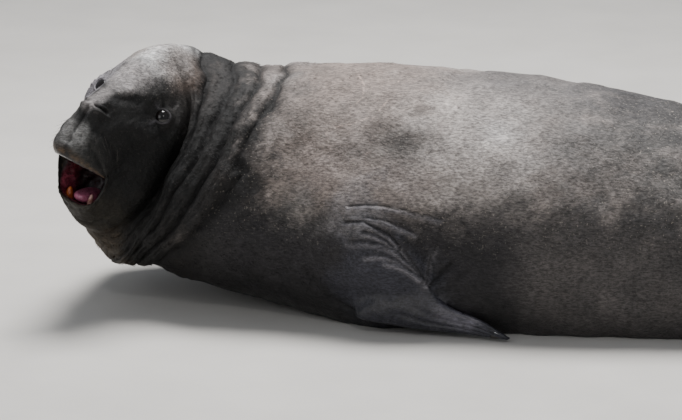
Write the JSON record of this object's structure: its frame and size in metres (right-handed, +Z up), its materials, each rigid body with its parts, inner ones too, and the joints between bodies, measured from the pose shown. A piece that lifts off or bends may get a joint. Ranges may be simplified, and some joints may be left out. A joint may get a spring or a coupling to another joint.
{
  "type": "southern elephant seal",
  "caption": "Life-size still model of a southern elephant seal resting on its belly, head raised and turned, mouth open.",
  "frame": {"origin": "on the ground under the middle of the seal's box", "axes": "+X towards the tail, along the body; +Y towards the seal's right side; +Z up"},
  "size_m": [3.126, 0.937, 0.7886],
  "materials": {
    "body_coat": "short flat fur, soft sheen",
    "neck_coat": "short flat fur over deep folds",
    "head_coat": "short flat fur, paler crown",
    "jaw_coat": "short flat fur, damp",
    "flipper_skin": "wet, glossy",
    "eye": "wet, polished",
    "tongue": "wet, soft gloss"
  },
  "bodies": {
    "root": {"rump": "body_coat", "torso_rear": "body_coat", "torso_middle": "body_coat", "chest": "body_coat", "neck": "neck_coat", "head": "head_coat", "lower_jaw": "jaw_coat", "tongue": "tongue", "eye_left": "eye", "eye_right": "eye", "fore_flipper_left": "flipper_skin", "fore_flipper_right": "flipper_skin", "hind_flipper_left": "flipper_skin", "hind_flipper_right": "flipper_skin", "tail": "body_coat"}
  },
  "joints": []
}
